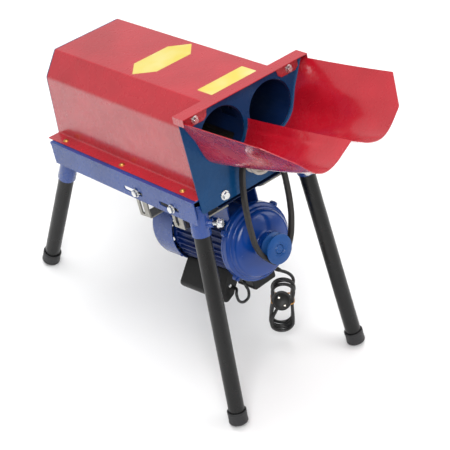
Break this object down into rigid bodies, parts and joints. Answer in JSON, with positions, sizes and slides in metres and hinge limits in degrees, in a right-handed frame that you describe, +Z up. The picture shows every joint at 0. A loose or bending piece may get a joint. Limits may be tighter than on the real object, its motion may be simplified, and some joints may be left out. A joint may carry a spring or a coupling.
{
  "type": "electric maize sheller",
  "caption": "Twin-feed electric maize sheller: folded sheet hood over a beater drum, W-shaped feed chute, belt drive from a motor slung below, and splayed tube legs.",
  "frame": {"origin": "centre of the footprint, on the floor", "axes": "+Z up, the feed end faces -Y, the cob outlets face +Y, +X is to the right seen from the feed end; the body leans 16 degrees, feed end up"},
  "size_m": [0.3614, 0.7374, 0.7094],
  "materials": {
    "bearing_front": "bare cast housing",
    "bearing_rear": "bare cast housing",
    "cable_gland": "black moulded plastic",
    "cable_hank": "black cable sheath, coiled",
    "cable_tie": "gold twist tie",
    "cap_strip": "gloss red powder coat",
    "capacitor_box": "black moulded plastic, fine grain",
    "capacitor_lead": "black cable sheath",
    "clamp_bolt_front_left": "bright zinc plating",
    "clamp_bolt_front_right": "bright zinc plating",
    "clamp_bolt_rear_left": "bright zinc plating",
    "clamp_bolt_rear_right": "bright zinc plating",
    "cooling_fan": "black moulded plastic",
    "drum_pulley": "bare cast, turned groove",
    "drum_shaft": "turned steel",
    "fan_cowl": "pressed sheet with gloss blue paint",
    "feed_chute": "gloss red powder coat on formed sheet",
    "feed_tube_left": "blue paint, duller inside",
    "feed_tube_right": "blue paint, duller inside",
    "foot_cap_front_left": "black moulded rubber",
    "foot_cap_front_right": "black moulded rubber",
    "foot_cap_rear_left": "black moulded rubber",
    "foot_cap_rear_right": "black moulded rubber",
    "front_panel": "gloss blue powder coat",
    "grain_tray": "blue paint",
    "hanger_front_left": "galvanised strap with zinc bolts",
    "hanger_front_right": "galvanised strap with zinc bolts",
    "hanger_rear_left": "galvanised strap with zinc bolts",
    "hanger_rear_right": "galvanised strap with zinc bolts",
    "hood": "gloss red powder coat on folded sheet, plain yellow stickers on top",
    "leg_front_left": "black semi-gloss powder coat",
    "leg_front_right": "black semi-gloss powder coat",
    "leg_rear_left": "black semi-gloss powder coat",
    "leg_rear_right": "black semi-gloss powder coat",
    "mains_plug": "black moulded rubber body with nickel pins",
    "motor_body": "ribbed casting with gloss blue paint",
    "motor_foot": "gloss blue paint",
    "motor_front_bell": "casting with gloss blue paint",
    "motor_pulley": "gloss blue paint",
    "motor_rear_bell": "casting with gloss blue paint",
    "panel_bolt_left": "bright zinc plating",
    "panel_bolt_right": "bright zinc plating",
    "power_cable": "black cable sheath",
    "rail_left": "gloss blue powder coat",
    "rail_right": "gloss blue powder coat",
    "rear_panel": "gloss blue powder coat",
    "rotor_shaft": "turned steel",
    "socket_front_left": "gloss blue powder coat",
    "socket_front_right": "gloss blue powder coat",
    "socket_rear_left": "gloss blue powder coat",
    "socket_rear_right": "gloss blue powder coat",
    "tab_bolt_left": "bright zinc plating",
    "tab_bolt_right": "bright zinc plating",
    "terminal_box": "black moulded plastic, fine grain",
    "threshing_drum": "dark painted steel with worn bars",
    "v_belt": "fabric-wrapped rubber belt"
  },
  "bodies": {
    "frame": {"bearing_front": "bearing_front", "bearing_rear": "bearing_rear", "cable_gland": "cable_gland", "cable_hank": "cable_hank", "cable_tie": "cable_tie", "cap_strip": "cap_strip", "capacitor_box": "capacitor_box", "capacitor_lead": "capacitor_lead", "clamp_bolt_front_left": "clamp_bolt_front_left", "clamp_bolt_front_right": "clamp_bolt_front_right", "clamp_bolt_rear_left": "clamp_bolt_rear_left", "clamp_bolt_rear_right": "clamp_bolt_rear_right", "fan_cowl": "fan_cowl", "feed_chute": "feed_chute", "feed_tube_left": "feed_tube_left", "feed_tube_right": "feed_tube_right", "foot_cap_front_left": "foot_cap_front_left", "foot_cap_front_right": "foot_cap_front_right", "foot_cap_rear_left": "foot_cap_rear_left", "foot_cap_rear_right": "foot_cap_rear_right", "front_panel": "front_panel", "grain_tray": "grain_tray", "hanger_front_left": "hanger_front_left", "hanger_front_right": "hanger_front_right", "hanger_rear_left": "hanger_rear_left", "hanger_rear_right": "hanger_rear_right", "hood": "hood", "leg_front_left": "leg_front_left", "leg_front_right": "leg_front_right", "leg_rear_left": "leg_rear_left", "leg_rear_right": "leg_rear_right", "mains_plug": "mains_plug", "motor_body": "motor_body", "motor_foot": "motor_foot", "motor_front_bell": "motor_front_bell", "motor_rear_bell": "motor_rear_bell", "panel_bolt_left": "panel_bolt_left", "panel_bolt_right": "panel_bolt_right", "power_cable": "power_cable", "rail_left": "rail_left", "rail_right": "rail_right", "rear_panel": "rear_panel", "socket_front_left": "socket_front_left", "socket_front_right": "socket_front_right", "socket_rear_left": "socket_rear_left", "socket_rear_right": "socket_rear_right", "tab_bolt_left": "tab_bolt_left", "tab_bolt_right": "tab_bolt_right", "terminal_box": "terminal_box", "v_belt": "v_belt"},
    "drum": {"drum_shaft": "drum_shaft", "threshing_drum": "threshing_drum", "drum_pulley": "drum_pulley"},
    "rotor": {"rotor_shaft": "rotor_shaft", "cooling_fan": "cooling_fan", "motor_pulley": "motor_pulley"}
  },
  "joints": [
    {"name": "drum_spin", "type": "hinge", "parent": "frame", "child": "drum", "pos_m": [0, -0.11921, 0.49519], "axis": [0, 0.9606, -0.2778], "continuous": true},
    {"name": "rotor_spin", "type": "hinge", "parent": "frame", "child": "rotor", "pos_m": [0, -0.19508, 0.31206], "axis": [0, 0.9328, -0.3605], "continuous": true}
  ],
  "couplings": [
    {"joint": "rotor_spin", "follows": "drum_spin", "ratio": 1.0746}
  ]
}
